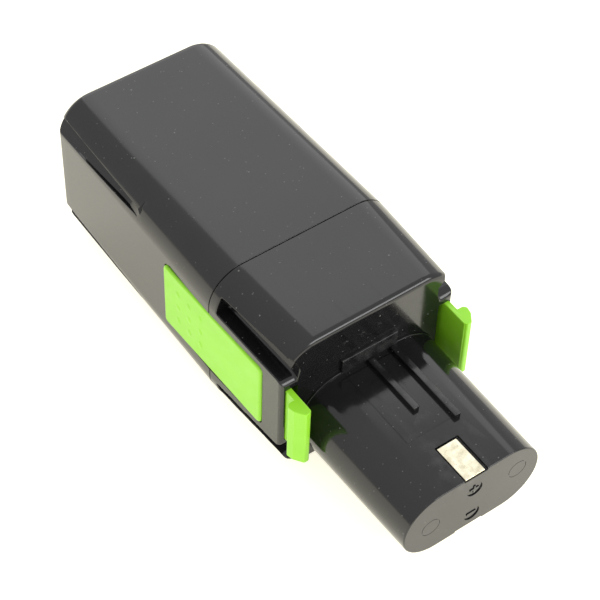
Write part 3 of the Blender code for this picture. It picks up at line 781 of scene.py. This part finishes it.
def make_rooms():
    """The space inside the collar, the spigot and the tower."""
    room = list(ROOM_HALF) + [(-y, z) for y, z in reversed(ROOM_HALF)]
    low_room = [(y, min(max(z, SPIGOT_ROOM_Z[0]), SPIGOT_ROOM_Z[1])) for y, z in room]
    return [extrusion("collar_room", room, 93.0, SHOULDER_X - 4.2),
            extrusion("spigot_room", low_room, 84.0, 93.5),
            loft("tower_room", [tower_ring(x, TOWER_WALL) for x in (120.0, TOTAL_LENGTH - 1.9)])]


def hook_slot(side):
    """The opening in the shoulder that the latch arm comes through."""
    half_height = HOOK_HALF_HEIGHT + FIT_GAP
    outline = rounded_rectangle((HOOK_SLOT_Y[0], MID_Z - half_height),
                                (HOOK_SLOT_Y[1], MID_Z + half_height), HOOK_SLOT_CORNER)
    return extrusion("hook_slot", outline, SHOULDER_X - 5, SHOULDER_X + 3, side)


def contact_cuts(level):
    """The recess that a contact lies in, open to the front, and the slot for the contact's leg."""
    recess_y = UPPER_RECESS_Y if level > 0 else LOWER_RECESS_Y
    return [block("contact_recess", (CONTACT_CUT_X, recess_y[0], TOWER_Z + level * 12.15),
                  (TOTAL_LENGTH + 3, recess_y[1], TOWER_Z + level * 16.0), 0.3),
            block("contact_slot", (CONTACT_CUT_X, -4.1, TOWER_Z + level * 10.0),
                  (CONTACT_CUT_X + 1.6, 4.1, TOWER_Z + level * 15.0))]


def end_mark(place, bars):
    """The cutter for a shallow round mark in the tower's end face, and the bars that stand in the mark."""
    y, z = place
    cutter = rod("round_mark", (TOTAL_LENGTH - MARK_DEPTH, y, z), (TOTAL_LENGTH + 1, y, z),
                 MARK_RADIUS, MARK_SEGMENTS)
    raised = [block("mark_bar", (TOTAL_LENGTH - 0.6, y - half_y, z - half_z),
                    (TOTAL_LENGTH - 0.03, y + half_y, z + half_z), 0.12, 2)
              for half_y, half_z in bars]
    return cutter, raised


def ejector_ring(y, z):
    """The cutter for the fine round line that an ejector pin leaves."""
    inner_radius, outer_radius = EJECTOR_RADII
    ring = rod("ejector_ring", (TOTAL_LENGTH - EJECTOR_DEPTH, y, z), (TOTAL_LENGTH + 1, y, z),
               outer_radius, MARK_SEGMENTS)
    core = rod("ejector_core", (TOTAL_LENGTH - 0.5, y, z), (TOTAL_LENGTH + 2, y, z),
               inner_radius, MARK_SEGMENTS)
    combine(ring, "DIFFERENCE", core)
    return ring


def make_front_housing():
    """Collar and contact tower in one moulding."""
    housing = make_collar()
    outline = rounded_rectangle((-SPIGOT_HALF_WIDTH, SPIGOT_Z[0]), (SPIGOT_HALF_WIDTH, SPIGOT_Z[1]),
                                SPIGOT_CORNER)
    spigot = extrusion("spigot", outline, SPIGOT_REAR_X, SEAM_X + 1)
    combine(housing, "UNION", spigot, *make_tower_solids())
    combine(housing, "DIFFERENCE", *make_rooms())

    cuts = [button_window(side) for side in SIDES] + [hook_slot(side) for side in SIDES]
    for level in SIDES:
        cuts.extend(contact_cuts(level))
    plus_cutter, plus_bars = end_mark(PLUS_PLACE, PLUS_BARS)
    minus_cutter, minus_bars = end_mark(MINUS_PLACE, MINUS_BARS)
    combine(housing, "DIFFERENCE", plus_cutter, minus_cutter, *cuts)
    combine(housing, "UNION", *plus_bars, *minus_bars)
    for place in EJECTOR_PLACES:
        combine(housing, "DIFFERENCE", ejector_ring(*place))
    soften(housing, WINDOW_ROUND, lambda p: SEAM_X + 0.6 < p.x < WINDOW_X[1] + 0.3 and abs(p.y) > 32 and
           WINDOW_Z[0] - 0.5 < p.z < WINDOW_Z[1] + 0.5)
    dress(housing, "housing", "pack", "front_housing", sharp_angle=32)


# ---------------------------------------------------------------- latches

PANEL_FRONT_Y = 33.7
PANEL_DEPTH = 3.8
PANEL_EDGE_RADIUS = 1.0
GRIP_CENTRE = (81.0, MID_Z)
GRIP_PITCH = (6.1, 6.3)
GRIP_HALF = (1.5, 0.55, 1.9)
GRIP_SINK = 0.33
RETAINER_X = (64.9, 121.5)      # the plate behind the panel, which keeps the latch in the housing
RETAINER_Z = (14.1, 43.9)
ARM_Y = (29.1, 31.1)
ARM_START_X = 118.0
BARB_OUTLINE = ((BARB_X, 30.0), (HOOK_TIP_X, 30.0), (HOOK_TIP_X, 31.1), (136.4, 33.3), (134.3, 33.4),
                (BARB_X, 32.8))
BARB_ROUNDING = (0.3, 0.3, 0.3, 0.6, 0.3, 0.3)
BARB_END_ROUND = 0.25
POST_RADIUS = 2.0
POST_END_Y = 17.2
POST_END_ROUND = 0.4


def panel_face_y(x, low_x, high_x):
    """How far out the panel's face stands, because it follows the housing's taper."""
    return mix(PANEL_REAR_Y, PANEL_FRONT_Y, (x - low_x) / (high_x - low_x))


def grip_dot(side, column, row):
    """One low oval bump of the thumb grip."""
    x = GRIP_CENTRE[0] + column * GRIP_PITCH[0]
    z = GRIP_CENTRE[1] + row * GRIP_PITCH[1]
    bm = bmesh.new()
    bmesh.ops.create_uvsphere(bm, u_segments=28, v_segments=16, radius=1)
    bmesh.ops.scale(bm, verts=bm.verts, vec=GRIP_HALF)
    bmesh.ops.translate(bm, verts=bm.verts, vec=(x, side * (panel_face_y(x, *WINDOW_X) - GRIP_SINK), z))
    return solid("grip_dot", bm)


def press_panel(side):
    """The thumb panel, with rounded corners and rounded outer edges."""
    low = (WINDOW_X[0] + FIT_GAP, WINDOW_Z[0] + FIT_GAP)
    high = (WINDOW_X[1] - FIT_GAP, WINDOW_Z[1] - FIT_GAP)

    def ring(inset, sink):
        outline = rounded_rectangle((low[0] + inset, low[1] + inset), (high[0] - inset, high[1] - inset),
                                    WINDOW_CORNER - FIT_GAP - inset * 0.6)
        return [(x, side * (panel_face_y(x, low[0], high[0]) - sink), z) for x, z in outline]

    rings = [ring(0, PANEL_DEPTH)]
    rings.extend(ring(inset, distance) for distance, inset in reversed(edge_steps(PANEL_EDGE_RADIUS, 7)))
    return loft("press_panel", rings)


def barb(side, low_z, high_z):
    """The hook's wedge, with its catch face to the rear."""
    outline = rounded_corners(BARB_OUTLINE, BARB_ROUNDING)
    steps = edge_steps(BARB_END_ROUND, 4)
    levels = [(low_z + distance, inset) for distance, inset in steps]
    levels.extend((high_z - distance, inset) for distance, inset in reversed(steps))
    return loft("barb", [[(x, side * y, z) for x, y in grown(outline, -inset)] for z, inset in levels])


def make_latch(side):
    """Press panel, retaining plate, arm, barbed hook and guide posts in one moulding."""
    label = "right" if side > 0 else "left"
    inner_y, outer_y = (side * y for y in ARM_Y)
    low_z, high_z = MID_Z - HOOK_HALF_HEIGHT, MID_Z + HOOK_HALF_HEIGHT
    latch = block(f"latch_{label}_moulding", (RETAINER_X[0], inner_y, RETAINER_Z[0]),
                  (RETAINER_X[1], outer_y, RETAINER_Z[1]), 0.4)
    arm = block("arm", (ARM_START_X, inner_y, low_z), (HOOK_TIP_X, outer_y, high_z), 0.3)
    posts = [rod("post", (POST_X, side * (ARM_Y[0] + 1), z), (POST_X, side * POST_END_Y, z),
                 POST_RADIUS, 40, POST_END_ROUND) for z in POST_Z]
    dots = [grip_dot(side, column, row) for column in (-1, 0, 1) for row in (-1, 0, 1)]
    combine(latch, "UNION", press_panel(side), arm, barb(side, low_z, high_z), *posts, *dots)
    dress(latch, "latch", f"{label}_latch", f"latch_{label}", sharp_angle=35)


# ---------------------------------------------------------------- contacts and springs

CONTACT_Y = (-3.65, 3.65)
CONTACT_LEG_X = (167.5, 168.0)
CONTACT_TAB_X = (174.7, 175.2)
SPRING_WIRE = 0.8
SPRING_RADIUS = 3.1
SPRING_TURNS = 6.5
SPRING_STEPS_PER_TURN = 28
SPRING_CLOSED = 0.13            # share of the wire in each closed end
SPRING_END_RISE = 0.8245 * SPRING_WIRE
SPRING_ANCHOR_Y = 21.3
WIRE_SIDES = 10


def make_contact(name, level, side):
    """A plated strip with rounded rims that lies in its recess, with its leg and inner tab."""
    def slab(label, x_range, y_range, depths, rounding):
        return block(label, (x_range[0], y_range[0], TOWER_Z + level * depths[0]),
                     (x_range[1], y_range[1], TOWER_Z + level * depths[1]), rounding)

    strip = slab(f"{name}_plate", (CONTACT_LOW.x, CONTACT_HIGH.x), CONTACT_Y, (12.45, 12.95), 0.16)
    leg = slab("leg", CONTACT_LEG_X, CONTACT_Y, (8.7, 12.7), 0.1)
    inner = slab("inner", (CONTACT_LEG_X[0], CONTACT_TAB_X[1]), CONTACT_Y, (8.7, 9.2), 0.1)
    tab = slab("tab", CONTACT_TAB_X, (side * CONTACT_Y[0], side * 12.0), (1.0, 9.2), 0.1)
    combine(strip, "UNION", leg, inner, tab)
    dress(strip, "contact", "pack", name)


def wire_loop(side, height, share, start_y, end_y):
    """The spring wire's round section at a share of its length."""
    closing = min(share / SPRING_CLOSED, 1) + max((share - 1 + SPRING_CLOSED) / SPRING_CLOSED, 0)
    open_share = min(max((share - SPRING_CLOSED) / (1 - 2 * SPRING_CLOSED), 0), 1)
    y = start_y + SPRING_END_RISE * closing + (end_y - start_y - 2 * SPRING_END_RISE) * open_share
    angle = 2 * math.pi * SPRING_TURNS * share
    outward = Vector((math.cos(angle), 0, math.sin(angle)))
    centre = Vector((POST_X, y, height)) + outward * SPRING_RADIUS
    loop = []
    for turn in range(WIRE_SIDES):
        spin = 2 * math.pi * turn / WIRE_SIDES
        point = centre + (outward * math.cos(spin) + Vector((0, 1, 0)) * math.sin(spin)) * SPRING_WIRE / 2
        loop.append((point.x, side * point.y, point.z))
    return loop


def make_spring(side, level, height):
    """A round-wire compression coil with closed ends, drawn at one fixed length."""
    label = "right" if side > 0 else "left"
    seat_y = ARM_Y[0] - FIT_GAP
    start_y, end_y = SPRING_ANCHOR_Y + SPRING_WIRE / 2, seat_y - SPRING_WIRE / 2
    count = int(SPRING_TURNS * SPRING_STEPS_PER_TURN)
    loops = [wire_loop(side, height, step / count, start_y, end_y) for step in range(count + 1)]
    spring = loft(f"latch_spring_{label}_{level}_coil", loops)
    dress(spring, "steel", "pack", f"latch_spring_{label}_{level}", sharp_angle=50)
    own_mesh(spring)


make_rear_shell()
make_front_housing()
for latch_side in SIDES:
    make_latch(latch_side)
    for spring_level, spring_height in zip(("low", "high"), POST_Z):
        make_spring(latch_side, spring_level, spring_height)
make_contact("contact_positive", 1, 1)
make_contact("contact_negative", -1, -1)


# ---------------------------------------------------------------- materials for the frame's own pieces

for subpart in frame["record"]["subparts"]:
    node = frame["nodes"][subpart["node"]]
    node.data.materials.clear()
    node.data.materials.append(SLOT_MATERIALS[subpart["material_slot"]])
